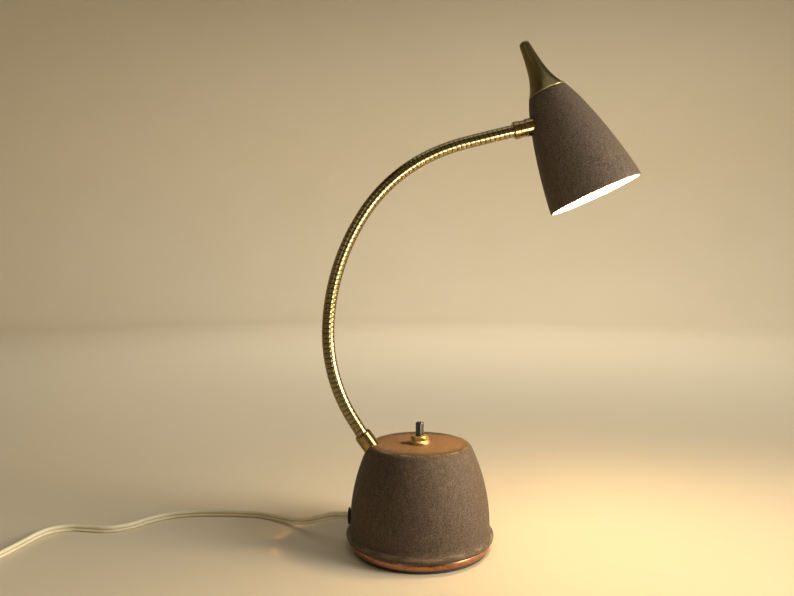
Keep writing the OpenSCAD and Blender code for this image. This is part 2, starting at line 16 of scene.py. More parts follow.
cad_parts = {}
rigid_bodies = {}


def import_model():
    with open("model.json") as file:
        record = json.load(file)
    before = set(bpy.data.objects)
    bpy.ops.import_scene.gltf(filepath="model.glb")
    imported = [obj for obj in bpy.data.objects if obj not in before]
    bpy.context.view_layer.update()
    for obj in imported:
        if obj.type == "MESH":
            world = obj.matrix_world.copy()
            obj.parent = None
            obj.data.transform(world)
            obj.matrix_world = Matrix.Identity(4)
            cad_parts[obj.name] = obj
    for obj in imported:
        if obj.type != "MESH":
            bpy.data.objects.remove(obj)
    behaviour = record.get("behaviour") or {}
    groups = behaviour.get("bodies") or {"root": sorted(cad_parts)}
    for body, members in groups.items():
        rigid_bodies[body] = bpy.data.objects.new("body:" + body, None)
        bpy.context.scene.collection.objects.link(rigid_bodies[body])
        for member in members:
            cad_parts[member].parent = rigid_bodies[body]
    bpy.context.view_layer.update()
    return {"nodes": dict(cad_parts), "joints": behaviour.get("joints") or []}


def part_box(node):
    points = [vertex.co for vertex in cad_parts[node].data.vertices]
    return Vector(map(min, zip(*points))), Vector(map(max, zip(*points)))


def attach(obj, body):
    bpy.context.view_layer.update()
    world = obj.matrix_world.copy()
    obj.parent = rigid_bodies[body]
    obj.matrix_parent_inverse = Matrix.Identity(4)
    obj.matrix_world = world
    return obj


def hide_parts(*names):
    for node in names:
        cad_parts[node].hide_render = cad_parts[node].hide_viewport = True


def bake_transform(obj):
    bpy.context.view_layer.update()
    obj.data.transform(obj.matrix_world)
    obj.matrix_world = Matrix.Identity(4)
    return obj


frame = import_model()
nodes = frame["nodes"]
joints = {joint["name"]: joint for joint in frame["joints"]}
scene = bpy.context.scene
scene.view_settings.view_transform = "Standard"
MM = 0.001
print("solids:", len(nodes), "joints:", len(joints))

# %% [markdown]
# ## Camera
# The photographer held the camera level, so upright lines stay parallel. A level camera keeps them so,
# and a small vertical shift, instead of a tilt, puts the horizon at its own row of the picture.

# %% Camera
IMAGE_W = 794
IMAGE_H = 596
FOCAL_PX = 690
HORIZON_PX = 265
SENSOR_W = 36
CAMERA_PLACE = Vector((-19.7, -599, 242.6)) * MM

lens = bpy.data.cameras.new("camera")
lens.sensor_width = SENSOR_W
lens.lens = FOCAL_PX / IMAGE_W * SENSOR_W
lens.shift_y = (HORIZON_PX - IMAGE_H / 2) / IMAGE_W
camera = bpy.data.objects.new("camera", lens)
camera.location = CAMERA_PLACE
camera.rotation_euler = (math.radians(90), 0, 0)
scene.collection.objects.link(camera)
scene.camera = camera
print("lens:", round(lens.lens, 2), "mm, shift:", round(lens.shift_y, 4))

# %% [markdown]
# ## Meshes
# Almost everything on this lamp was turned, spun or pressed round an axis. So the main tool is a lathe:
# an outline of a few points, with arcs and curves where it is round, spun through a full turn. The spin
# leaves doubles on the axis, so they are merged before the normals are made to point outwards.


# %% Outlines and the lathe
def arc(centre, radius, start, end, count):
    """Points of an arc, from one angle to another in degrees."""
    angles = [math.radians(start + (end - start) * i / count) for i in range(count + 1)]
    return [(centre[0] + radius * math.cos(a), centre[1] + radius * math.sin(a)) for a in angles]


def curve(points, count):
    """Points of a cubic curve with four control points."""
    made = []
    for i in range(count + 1):
        t = i / count
        weights = ((1 - t) ** 3, 3 * t * (1 - t) ** 2, 3 * t * t * (1 - t), t**3)
        made.append(tuple(sum(w * p[axis] for w, p in zip(weights, points)) for axis in (0, 1)))
    return made


def lathe(outline, steps=144, closed=False):
    """Spins an outline of (radius, height) points, in millimetres, round the Z axis."""
    bm = bmesh.new()
    verts = [bm.verts.new((radius * MM, 0, height * MM)) for radius, height in outline]
    ends = zip(verts, verts[1:] + verts[:1]) if closed else zip(verts, verts[1:])
    edges = [bm.edges.new(pair) for pair in ends]
    bmesh.ops.spin(
        bm, geom=verts + edges, cent=(0, 0, 0), axis=(0, 0, 1), angle=math.tau, steps=steps, use_merge=True
    )
    bmesh.ops.remove_doubles(bm, verts=bm.verts, dist=1e-6)
    bmesh.ops.recalc_face_normals(bm, faces=bm.faces)
    return bm


SHARP_ANGLE = math.radians(38)


def finish_piece(name, bm, *materials):
    """Turns a bmesh into a smooth-shaded object at the origin, with its edges kept crisp."""
    mesh = bpy.data.meshes.new(name)
    bm.to_mesh(mesh)
    bm.free()
    mesh.polygons.foreach_set("use_smooth", [True] * len(mesh.polygons))
    mesh.set_sharp_from_angle(angle=SHARP_ANGLE)
    for material in materials:
        mesh.materials.append(material)
    piece = bpy.data.objects.new(name, mesh)
    scene.collection.objects.link(piece)
    print(f"{name}: {len(mesh.polygons)} faces")
    return piece


def dress(piece, body, slot, *replaced):
    """Puts a piece on its body, in the place of the solids that it stands for."""
    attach(piece, body)
    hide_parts(*replaced)
    return piece


# %% [markdown]
# ## Shader maths
# A finish is mostly arithmetic on patterns: one noise times another, one minus a mask. The small class
# below wraps a socket, so that such a sum can be written as Python and adds its own Math nodes.
# Every other node comes from one method, which sets the node's settings before its sockets.


# %% Sockets that can be summed
class Wire:
    """A shader socket that takes part in sums."""

    def __init__(self, finish, socket):
        self.finish = finish
        self.socket = socket

    def math(self, operation, *values):
        return self.finish.node("ShaderNodeMath", {"operation": operation}, dict(enumerate(values)))

    def __add__(self, other):
        return self.math("ADD", self, other)

    def __sub__(self, other):
        return self.math("SUBTRACT", self, other)

    def __rsub__(self, other):
        return self.math("SUBTRACT", other, self)

    def __mul__(self, other):
        return self.math("MULTIPLY", self, other)

    def __truediv__(self, other):
        return self.math("DIVIDE", self, other)

    def __pow__(self, other):
        return self.math("POWER", self, other)

    def __abs__(self):
        return self.math("ABSOLUTE", self)

    __radd__ = __add__
    __rmul__ = __mul__

    def step(self, low, high):
        """0 below low, 1 above high and smooth between them."""
        settings = {"interpolation_type": "SMOOTHSTEP"}
        return self.finish.node("ShaderNodeMapRange", settings, {"Value": self, 1: low, 2: high})


class Finish:
    """One material: a Principled shader and the nodes that feed it."""

    def __init__(self, name, colour, **numbers):
        self.material = bpy.data.materials.new(name)
        self.material.use_nodes = True
        self.tree = self.material.node_tree
        self.shader = self.tree.nodes["Principled BSDF"]
        self.set("Base Color", colour)
        for socket, number in numbers.items():
            self.set(socket.replace("_", " "), number)
        self.place = self.node("ShaderNodeTexCoord", {}, {}, "Object")

    def node(self, kind, settings, inputs, output=0):
        made = self.tree.nodes.new(kind)
        for key, value in settings.items():
            setattr(made, key, value)
        for key, value in inputs.items():
            self.feed(made.inputs[key], value)
        return Wire(self, made.outputs[output])

    def feed(self, socket, value):
        if isinstance(value, Wire):
            self.tree.links.new(value.socket, socket)
        else:
            socket.default_value = value

    def set(self, socket, value):
        self.feed(self.shader.inputs[socket], value)

    def noise(self, size, detail=3, place=None, **numbers):
        """Noise whose features are about size millimetres across."""
        inputs = {"Vector": place or self.place, "Scale": 1 / (size * MM), "Detail": detail, **numbers}
        return self.node("ShaderNodeTexNoise", {}, inputs)

    def cells(self, size, feature="F1", place=None):
        """Cells about size millimetres across."""
        inputs = {"Vector": place or self.place, "Scale": 1 / (size * MM)}
        return self.node("ShaderNodeTexVoronoi", {"feature": feature}, inputs, "Distance")

    def mix(self, factor, first, second):
        """Mixes two colours."""
        settings = {"data_type": "RGBA"}
        return self.node("ShaderNodeMix", settings, {0: factor, 6: first, 7: second}, 2)

    def stretched(self, scale):
        """Object coordinates stretched along each axis, for drawn and brushed marks."""
        return self.node("ShaderNodeMapping", {}, {"Vector": self.place, "Scale": scale})

    def crooked(self, size, reach):
        """Object coordinates pushed about by noise, so that straight edges come out crooked."""
        push = self.node("ShaderNodeTexNoise", {}, {"Vector": self.place, "Scale": 1 / (size * MM)}, "Color")
        push = self.node("ShaderNodeVectorMath", {"operation": "SCALE"}, {0: push, "Scale": reach * MM})
        return self.node("ShaderNodeVectorMath", {"operation": "ADD"}, {0: self.place, 1: push})

    def axis(self, letter):
        """One of the object coordinates, in millimetres."""
        return self.node("ShaderNodeSeparateXYZ", {}, {0: self.place}, letter) / MM

    def attribute(self, name):
        return self.node("ShaderNodeAttribute", {"attribute_name": name}, {}, "Fac")

    def bump(self, height, depth):
        """Bump from a height of 0 to 1 that stands for a depth in millimetres."""
        self.set("Normal", self.node("ShaderNodeBump", {}, {"Height": height, "Distance": depth * MM}))


def srgb(red, green, blue):
    """A colour read as 0 to 255, as the shader's linear light."""
    channels = [value / 255 for value in (red, green, blue)]
    return (*[c / 12.92 if c < 0.04045 else ((c + 0.055) / 1.055) ** 2.4 for c in channels], 1)


# %% [markdown]
# ## Wrinkle paint
# The base and the shade have a baked wrinkle enamel: a taupe coat that shrank into fine, tight folds as it
# cured. Cells with crooked edges give the folds, and the colour has a painted highlight in pale specks on
# the fold tops and painted shade in the dark valleys between them. A slow noise makes the coat uneven. On
# the base, years of handling have worn the rim round the top to a paler line, and the top of the bead at
# the foot is paler with painted highlight and wear.

# %% Wrinkle paint
PAINT = srgb(90, 75, 60)
PAINT_DARK = srgb(48, 39, 31)
PAINT_HIGHLIGHT = srgb(138, 120, 97)
PAINT_WEAR_AND_HIGHLIGHT = srgb(190, 166, 122)


def wrinkle_paint(name, worn_rim=None, foot_highlight_and_wear=None):
    """The coat, worn at a rim of that radius, and paler with painted highlight and wear at a foot of that
    height, both in millimetres.
    """
    finish = Finish(name, PAINT, Specular_IOR_Level=0.35)
    folds = finish.cells(1.15, "DISTANCE_TO_EDGE", finish.crooked(1.8, 1.2)).step(0.02, 0.36)
    grain = finish.noise(0.7, 4)
    slow = finish.noise(24, 2).step(0.3, 0.7)
    height = folds * 0.65 + grain * 0.35
    # Pale specks on the fold tops are painted highlight, and the dark valleys between them are painted shade.
    lit_fold_tops = height.step(0.55, 0.86)
    valley_shade = 1 - height.step(0.16, 0.42)
    colour = finish.mix(valley_shade * 0.7, PAINT, PAINT_DARK)
    colour = finish.mix(lit_fold_tops * (0.25 + slow * 0.3), colour, PAINT_HIGHLIGHT)
    drawn = finish.noise(2.6, 4, finish.stretched((1.0, 1.0, 0.4))).step(0.3, 0.62)
    colour = finish.mix((1 - drawn) * 0.4, colour, PAINT_DARK)
    if worn_rim:
        radius = (finish.axis("X") ** 2 + finish.axis("Y") ** 2) ** 0.5
        rim = 1 - abs(radius - worn_rim).step(0.3, 1.5)
        rub = finish.noise(9, 4).step(0.4, 0.62) * (0.4 + lit_fold_tops * 0.6)
        colour = finish.mix(rim * rub * 0.85, colour, PAINT_WEAR_AND_HIGHLIGHT)
    # A paler band round the top of the bead at the foot is painted highlight and wear.
    if foot_highlight_and_wear:
        foot = 1 - abs(finish.axis("Z") - foot_highlight_and_wear).step(0.4, 2.2)
        rub = finish.noise(3.0, 4, finish.stretched((0.25, 0.25, 1.6))).step(0.38, 0.66)
        colour = finish.mix(foot * rub * 0.22, colour, PAINT_WEAR_AND_HIGHLIGHT)
    finish.set("Base Color", colour)
    finish.set("Roughness", 0.74 - height * 0.2)
    finish.bump(height, 0.24)
    return finish.material


RIM_R = 41.6
FOOT_Z = 13
shade_paint = wrinkle_paint("wrinkle_paint")
base_paint = wrinkle_paint("wrinkle_paint_base", RIM_R, FOOT_Z)
print("paints:", shade_paint.name, base_paint.name)

# %% [markdown]
# ## Brass, copper and steel
# The neck is polished brass plate, with shade painted nearly black into its grooves. The finial is the same
# metal, toned dark and brushed on a lathe, so its fine marks run round it. A metal's look is what it
# reflects: its colour is simple, and most of the detail is in the roughness.

# %% Metals
BRASS = srgb(156, 134, 86)
NECK_BRASS = srgb(158, 143, 102)
BRASS_BROWN = srgb(92, 66, 34)
BRASS_SATIN = srgb(190, 170, 116)
BRASS_TONED = srgb(126, 114, 74)
BRASS_DARK = srgb(66, 54, 32)
GROOVE_SHADE = srgb(38, 25, 12)
COPPER = srgb(166, 118, 92)
COPPER_DULL = srgb(92, 62, 46)
ZINC = srgb(186, 188, 190)
ZINC_DULL = srgb(140, 142, 146)
ALUMINIUM = srgb(206, 207, 210)
ALUMINIUM_DULL = srgb(160, 160, 164)
IRON = srgb(58, 57, 58)
RUST = srgb(92, 62, 44)


def metal(name, bright, dull, roughness, spots=6.0, marks=None, mark_depth=0.01):
    """Plated metal with duller spots, and fine marks if they are given as a stretch."""
    finish = Finish(name, bright, Metallic=1.0)
    stain = finish.noise(spots, 5).step(0.46, 0.78)
    fine = finish.noise(0.7, 2)
    finish.set("Base Color", finish.mix(stain * 0.45, bright, dull))
    finish.set("Roughness", roughness + stain * 0.14 + fine * 0.06)
    if marks:
        finish.bump(finish.noise(1.0, 3, finish.stretched(marks)), mark_depth)
    else:
        finish.bump(fine, mark_depth * 0.5)
    return finish.material


DRAWN_ROUND = (0.06, 0.06, 2.4)
BRUSHED_ROUND = (0.5, 0.5, 3.0)
brass = metal("polished_brass", BRASS, BRASS_BROWN, 0.13)
satin_brass = metal("satin_brass", BRASS_SATIN, BRASS_BROWN, 0.37, 4)
zinc = metal("zinc_plate", ZINC, ZINC_DULL, 0.3, 3)
aluminium = metal("pressed_aluminium", ALUMINIUM, ALUMINIUM_DULL, 0.3, 4)
copper = metal("copper_plate", COPPER, COPPER_DULL, 0.2, 11, DRAWN_ROUND, 0.015)
toned_brass = metal("toned_brass", BRASS_TONED, BRASS_DARK, 0.3, 14, BRUSHED_ROUND, 0.015)


def neck_brass():
    """Plated brass, with shade painted nearly black where the mesh's groove attribute says that the winding
    is deep.
    """
    finish = Finish("neck_brass", NECK_BRASS, Metallic=1.0)
    groove_shade_mask = finish.attribute("groove").step(0.35, 1.0)
    stain = finish.noise(9, 5).step(0.46, 0.78)
    colour = finish.mix(stain * 0.3, NECK_BRASS, BRASS_BROWN)
    # The grooves are painted nearly black as shade, and made rougher.
    finish.set("Base Color", finish.mix(groove_shade_mask * 0.92, colour, GROOVE_SHADE))
    finish.set("Roughness", 0.18 + stain * 0.1 + groove_shade_mask * 0.4)
    finish.bump(finish.noise(0.7, 2), 0.005)
    return finish.material


hose_brass = neck_brass()


def cast_iron():
    finish = Finish("cast_iron", IRON, Metallic=0.6)
    pits = finish.noise(1.6, 5)
    finish.set("Base Color", finish.mix(finish.noise(12).step(0.5, 0.8), IRON, RUST))
    finish.set("Roughness", 0.6 + pits * 0.25)
    finish.bump(pits, 0.3)
    return finish.material


iron = cast_iron()
print("metals:", brass.name, copper.name, toned_brass.name, zinc.name, hose_brass.name, iron.name)

# %% [markdown]
# ## Plastics, rubber, felt and glass
# The cord and plug are ivory vinyl that has yellowed with age, with shade painted into the groove between
# the two conductors. The grommet and switch are black. The inside of the shade is glossy white enamel, and
# the bulb is frosted, lit, and bright enough to light the enamel round it.


# %% Plastics and the rest
def moulded(name, colour, soiled, roughness, soil_size=14.0, texture=0.05, **numbers):
    """Plastic or rubber with soiled patches and a faint moulded texture."""
    finish = Finish(name, colour, **numbers)
    soil = finish.noise(soil_size, 5).step(0.42, 0.8)
    grain = finish.noise(0.6, 2)
    finish.set("Base Color", finish.mix(soil * 0.55, colour, soiled))
    finish.set("Roughness", roughness + soil * 0.12 + grain * 0.08)
    finish.bump(grain, texture)
    return finish.material


IVORY = srgb(230, 222, 194)
IVORY_SOILED = srgb(198, 186, 146)
IVORY_GROOVE_SHADE = srgb(112, 98, 66)
BLACK = srgb(26, 27, 27)
BLACK_SOILED = srgb(42, 42, 41)
PORCELAIN = srgb(236, 232, 222)
PORCELAIN_SOILED = srgb(214, 206, 188)
ENAMEL = srgb(240, 236, 226)
ENAMEL_YELLOWED = srgb(226, 214, 190)
ivory_plug = moulded("ivory_vinyl", IVORY, IVORY_SOILED, 0.4, 20, Subsurface_Weight=0.08)
rubber = moulded("black_rubber", srgb(24, 23, 22), srgb(48, 45, 42), 0.6, 5, 0.08)
bakelite = moulded("black_phenolic", BLACK, BLACK_SOILED, 0.1, 4, 0.002, Specular_IOR_Level=1.0)
porcelain = moulded("glazed_porcelain", PORCELAIN, PORCELAIN_SOILED, 0.15, 16, 0.02)
tie_plastic = moulded("tie_plastic", srgb(30, 30, 31), srgb(52, 50, 48), 0.45, 4, 0.04)
enamel = moulded("white_enamel", ENAMEL, ENAMEL_YELLOWED, 0.22, 18, 0.05)


def ivory_cord():
    """The plug's vinyl, with painted shade where the mesh's groove attribute marks the cord's groove."""
    finish = Finish("ivory_cord", IVORY, Subsurface_Weight=0.08)
    soil = finish.noise(26, 5).step(0.42, 0.8)
    grain = finish.noise(0.6, 2)
    groove = finish.attribute("groove").step(0.2, 1.0)
    colour = finish.mix(soil * 0.5, IVORY, IVORY_SOILED)
    # The groove between the conductors is painted darker as shade.
    finish.set("Base Color", finish.mix(groove * 0.42, colour, IVORY_GROOVE_SHADE))
    finish.set("Roughness", 0.42 + soil * 0.12 + grain * 0.08)
    finish.bump(grain, 0.03)
    return finish.material


cord_vinyl = ivory_cord()
FELT = srgb(26, 25, 23)
FELT_FLUFF = srgb(58, 55, 50)


def felt():
    finish = Finish("felt", FELT, Sheen_Weight=0.4)
    fibres = finish.noise(0.5, 6)
    finish.set("Base Color", finish.mix(fibres.step(0.35, 0.7), FELT, FELT_FLUFF))
    finish.set("Roughness", 0.9 + fibres * 0.08)
    finish.bump(fibres, 0.4)
    return finish.material


dark_felt = felt()

BULB_LIGHT = (1.0, 0.66, 0.30, 1)
BULB_LIGHT_PALE = (1.0, 0.70, 0.36, 1)
BULB_STRENGTH = 130.0


def frosted_glass():
    finish = Finish("frosted_glass", srgb(250, 244, 232), Emission_Strength=BULB_STRENGTH)
    cloud = finish.noise(10, 2)
    finish.set("Emission Color", finish.mix(cloud.step(0.2, 0.8), BULB_LIGHT, BULB_LIGHT_PALE))
    finish.set("Roughness", 0.3 + cloud * 0.2)
    return finish.material


lit_glass = frosted_glass()
print("lit bulb:", BULB_STRENGTH)

# %% [markdown]
# ## The cord
# The photograph shows the first stretch of a flat twin cord, standing on its edge as it leaves the base. Its
# route is a short list of points, and a smooth curve runs through them. The rest of the cord is put away in
# a tied coil outside the picture. A coil's turn is nearly a circle, with a short jog to the next radius, so
# that the turns lie side by side and don't cut through each other.

# %% Route of the cord
CORD_W = 6.4
CORD_T = 3.2
FLOOR_Z = 3.4
COIL_Z = 4.3
LAYER_H = 6.6
ROUTE = [
    (-54, 0, 25), (-66, 0, 25), (-76, 4, 23.5), (-88, 13, 18), (-100, 25, 11.5), (-112, 38, 6.5),
    (-124, 48, 4.2), (-138, 57, FLOOR_Z), (-152, 63, FLOOR_Z), (-171, 66, FLOOR_Z), (-190, 67, FLOOR_Z),
    (-206, 67, FLOOR_Z), (-221, 65, FLOOR_Z), (-237, 60, FLOOR_Z), (-251, 49, FLOOR_Z),
    (-264, 34, FLOOR_Z), (-280, 26, FLOOR_Z), (-299, 28, FLOOR_Z), (-317, 30, FLOOR_Z),
    (-331, 24, FLOOR_Z), (-338, 12, FLOOR_Z), (-342, -6, FLOOR_Z), (-347, -27, FLOOR_Z),
    (-352, -45, 3.8), (-356.4, -61, COIL_Z),
]
PLUG_ROUTE = [
    (-433.5, -49, 10.9), (-433.5, -36, 10.6), (-433.5, -22, 9.6), (-433, -8, 8.2), (-433, 4, 7.5),
]


def smooth_route(points, samples):
    """A curve through every point, in millimetres."""
    line = [Vector(point) for point in points]
    made = []
    for i in range(len(line) - 1):
        before = line[max(i - 1, 0)]
        after = line[min(i + 2, len(line) - 1)]
        here, there = line[i], line[i + 1]
        for step in range(samples):
            t = step / samples
            made.append(
                0.5 * (2 * here + (there - before) * t + (2 * before - 5 * here + 4 * there - after) * t**2
                       + (3 * here - before - 3 * there + after) * t**3)
            )
    return made + [line[-1]]


COIL_PLACE = Vector((-394, -49, 0))
COIL_R = 36
TURN_GAP = 3.5
COIL_START = -17.5
COIL_TURNS = 5.4514
JOG = 0.2
TUCK = 1.5


def eased(t):
    t = min(max(t, 0), 1)
    return t * t * (3 - 2 * t)


def coil_point(turn):
    """A point of the coil: three turns inwards on the floor, then outwards on top of them."""
    whole = int(turn)
    jog = eased((turn - whole - 1 + JOG) / JOG)
    rise = jog if whole == 2 else float(whole > 2)
    inward = min(whole + jog, 2) if whole < 3 else 2
    outward = min(whole - 3 + jog, 2) if whole > 2 else 0
    tuck = TUCK * math.sin(math.pi * jog) if whole == 2 else 0
    radius = COIL_R + TURN_GAP * (1 - inward + outward) - tuck
    angle = math.radians(COIL_START - 360 * turn)
    spoke = Vector((math.cos(angle), math.sin(angle), 0))
    return COIL_PLACE + radius * spoke + Vector((0, 0, COIL_Z + LAYER_H * rise))


COIL_STEPS = 300
coil = [coil_point(COIL_TURNS * i / COIL_STEPS) for i in range(COIL_STEPS + 1)]
cord_line = [point * MM for point in smooth_route(ROUTE, 6)[:-1] + coil[:-1] + smooth_route(PLUG_ROUTE, 6)]
cord_length = sum((b - a).length for a, b in zip(cord_line, cord_line[1:]))
print("cord:", round(cord_length, 3), "m")

# %% [markdown]
# The cord's section is two round conductors side by side, joined at a groove. Blender sweeps it along
# the route as a curve's bevel. With the twist set to Z-up, the cord stays on its edge all the way.

# %% Sweep the cord
LOBE_R = CORD_T / 2
LOBE_Z = (CORD_W - CORD_T) / 2
NOTCH = 48
upper_lobe = arc((0, LOBE_Z), LOBE_R, -NOTCH, 180 + NOTCH, 12)
section = upper_lobe + arc((0, -LOBE_Z), LOBE_R, 180 - NOTCH, 360 + NOTCH, 12)


def flat_curve(name, points, cyclic):
    data = bpy.data.curves.new(name, "CURVE")
    data.dimensions = "3D"
    spline = data.splines.new("POLY")
    spline.points.add(len(points) - 1)
    for place, point in zip(spline.points, points):
        place.co = (*point, 1) if len(point) == 3 else (*point, 0, 1)
    spline.use_cyclic_u = cyclic
    made = bpy.data.objects.new(name, data)
    scene.collection.objects.link(made)
    return made


def sweep(name, line, outline, material):
    """A mesh swept along a line, with its outline's height kept upright."""
    profile = flat_curve(name + "_section", [(x * MM, y * MM) for x, y in outline], True)
    path = flat_curve(name + "_path", line, False)
    path.data.twist_mode = "Z_UP"
    path.data.bevel_mode = "OBJECT"
    path.data.bevel_object = profile
    path.data.use_fill_caps = True
    bpy.context.view_layer.update()
    mesh = bpy.data.meshes.new_from_object(path.evaluated_get(bpy.context.evaluated_depsgraph_get()))
    mesh.name = name
    mesh.materials.clear()
    mesh.materials.append(material)
    for spare in (path, profile):
        bpy.data.curves.remove(spare.data)
    made = bpy.data.objects.new(name, mesh)
    scene.collection.objects.link(made)
    return made


cord = sweep("cord", cord_line, section, cord_vinyl)
grooved = cord.data.attributes.new("groove", "FLOAT", "POINT")
notch_x = math.cos(math.radians(NOTCH)) * LOBE_R + 0.05
in_groove = [float(abs(x) < notch_x and abs(y) < LOBE_Z) for x, y in section]
values = [in_groove[i % len(section)] for i in range(len(cord.data.vertices))]
grooved.data.foreach_set("value", values)
print("cord:", len(values), "points, in rings of", len(section), "along", len(cord_line))
cord_low = min(v.co.z for v in cord.data.vertices)
print("cord's lowest point:", round(cord_low / MM, 2), "mm")
dress(cord, "base", "ivory_cord", "supply_cord", "cord_coil")

# %% [markdown]
# The plug is moulded in one with the cord. Its section is a slot with round ends, which swells from the
# cord's own size to the plug's, and a few low ribs on the slope give the fingers a grip. Rings with that
# section, one behind the other, are bridged into a skin.

# %% Plug
plug_low, plug_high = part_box("plug_body")
PLUG_W, PLUG_L, PLUG_T = (plug_high - plug_low) / MM
PLUG_ROOT = 0.6
PLUG_SWELL = 16
RIBS = 5
RIB_H = 0.5
PLUG_EDGE_R = 1.5
PLUG_RINGS = 120
PLUG_SIDES = 48


def plug_section(along):
    """Points round the plug at a distance from the cord's end, as (across, up) from its middle."""
    swell = PLUG_ROOT + (1 - PLUG_ROOT) * eased(along / PLUG_SWELL)
    rib = RIB_H * max(math.sin(math.tau * RIBS * along / PLUG_SWELL), 0) if along < PLUG_SWELL else 0
    over = max(PLUG_EDGE_R - PLUG_L + along, 0)
    inset = PLUG_EDGE_R - math.sqrt(PLUG_EDGE_R**2 - over**2)
    half_t = min(PLUG_T / 2 * swell + rib, PLUG_T / 2) - inset
    core = (PLUG_W - PLUG_T) / 2 * eased(along / PLUG_SWELL)
    angles = [math.tau * (i + 0.5) / PLUG_SIDES for i in range(PLUG_SIDES)]
    return [(math.copysign(core, math.cos(a)) + half_t * math.cos(a), half_t * math.sin(a)) for a in angles]


def plug_mesh():
    bm = bmesh.new()
    middle = (plug_low + plug_high) / 2
    rings = []
    for i in range(PLUG_RINGS + 1):
        along = PLUG_L * i / PLUG_RINGS
        start = Vector((middle.x, plug_low.y + along * MM, middle.z))
        ring = [bm.verts.new(start + Vector((x, 0, z)) * MM) for x, z in plug_section(along)]
        rings.append([bm.edges.new((ring[i - 1], ring[i])) for i in range(PLUG_SIDES)])
    for near, far in zip(rings, rings[1:]):
        bmesh.ops.bridge_loops(bm, edges=near + far)
    for end in (rings[0], rings[-1]):
        bmesh.ops.edgeloop_fill(bm, edges=end)
    bmesh.ops.recalc_face_normals(bm, faces=bm.faces)
    return bm


plug = finish_piece("plug_moulded", plug_mesh(), ivory_plug)
dress(plug, "base", "ivory_plug", "plug_body")

# %% [markdown]
# ## Floor and light
# The lamp stands on a round sheet of pale paper that curves up into a wall on every side, so no view of it
# has an edge behind the object. The main light stands tall at the right, as in the photograph, and two low
# ones near it give the brass its bright line. A strip on the left, a panel overhead and a wash on the wall
# are weak, so that the brass has something dark to reflect. The bulb is lit too, and a narrow warm beam from
# the shade's mouth helps it to light the top of the base.

# %% Floor and light
FLOOR_COLOUR = srgb(228, 216, 190)
STAGE_R = 2400
SWEEP_R = 800
WALL_H = 3600
rising = arc((STAGE_R, SWEEP_R), SWEEP_R, -90, 0, 24)

paper = Finish("pale_paper", FLOOR_COLOUR, Roughness=0.8, Specular_IOR_Level=0.1)
paper.set("Base Color", paper.mix(paper.noise(300, 2), FLOOR_COLOUR, srgb(224, 211, 184)))
floor = finish_piece("floor", lathe([(0, 0)] + rising + [(STAGE_R + SWEEP_R, WALL_H)]), paper.material)


def hang_light(data, place, aim, power, colour):
    data.energy = power
    data.color = colour
    lamp = bpy.data.objects.new(data.name, data)
    lamp.location = place
    lamp.rotation_euler = (Vector(aim) - Vector(place)).to_track_quat("-Z", "Y").to_euler()
    lamp.visible_camera = False
    scene.collection.objects.link(lamp)


def soft_light(name, place, aim, size, power, colour, spread=180):
    """A rectangular light, size wide and high, that faces its aim and spreads over that many degrees."""
    data = bpy.data.lights.new(name, "AREA")
    data.shape = "RECTANGLE"
    data.size, data.size_y = size
    data.spread = math.radians(spread)
    hang_light(data, place, aim, power, colour)


SPOT_BLEND = 0.4
SPOT_RADIUS = 0.006


def spot_light(name, place, aim, cone, power, colour):
    """A small light with a soft-edged cone, in degrees."""
    data = bpy.data.lights.new(name, "SPOT")
    data.spot_size = math.radians(cone)
    data.spot_blend = SPOT_BLEND
    data.shadow_soft_size = SPOT_RADIUS
    hang_light(data, place, aim, power, colour)


AIM = (0, 0, 0.22)
BASE_TOP = (0.004, 0, 0.088)
SHADE_MOUTH = (0.148, -0.005, 0.29)
WARM = (1.0, 0.48, 0.11)
soft_light("window", (1.35, -0.55, 0.65), AIM, (0.6, 1.0), 8, (1.0, 0.93, 0.82), 110)
soft_light("bounce", (0.75, -0.12, 0.25), AIM, (0.5, 0.3), 1.6, (1.0, 0.82, 0.58), 70)
soft_light("low_glow", (0.32, -0.42, 0.02), (0.05, 0, 0.33), (0.36, 0.3), 0.75, (1.0, 0.96, 0.86), 60)
soft_light("fill", (-0.85, -1.6, 0.7), AIM, (0.25, 0.9), 0.25, (0.95, 0.97, 1.0), 90)
soft_light("backdrop", (0.7, 0.6, 2.2), (0.4, 2.25, 0.1), (1.6, 0.6), 20, (1.0, 0.94, 0.84), 100)
soft_light("overhead", (0, 0, 3.4), (0, 0, 0), (3, 3), 18, (1.0, 0.97, 0.92))
spot_light("bulb_spill", SHADE_MOUTH, BASE_TOP, 17, 8.5, WARM)

WORLD_COLOUR = srgb(206, 206, 204)
WORLD_STRENGTH = 0.04
world = bpy.data.worlds.new("studio")
world.use_nodes = True
backdrop = world.node_tree.nodes["Background"]
backdrop.inputs["Color"].default_value = WORLD_COLOUR
backdrop.inputs["Strength"].default_value = WORLD_STRENGTH
scene.world = world
print("lights:", [light.name for light in bpy.data.lights])

# %% [markdown]
# ## Base shell
# The base is one pressing: a flat top, a tight shoulder, a long swelling side, and at the foot a flare and a
# rolled bead. Its outline has only the points where one arc hands over to the next. The inner wall is the
# same outline moved inwards, so the mesh is a closed shell.

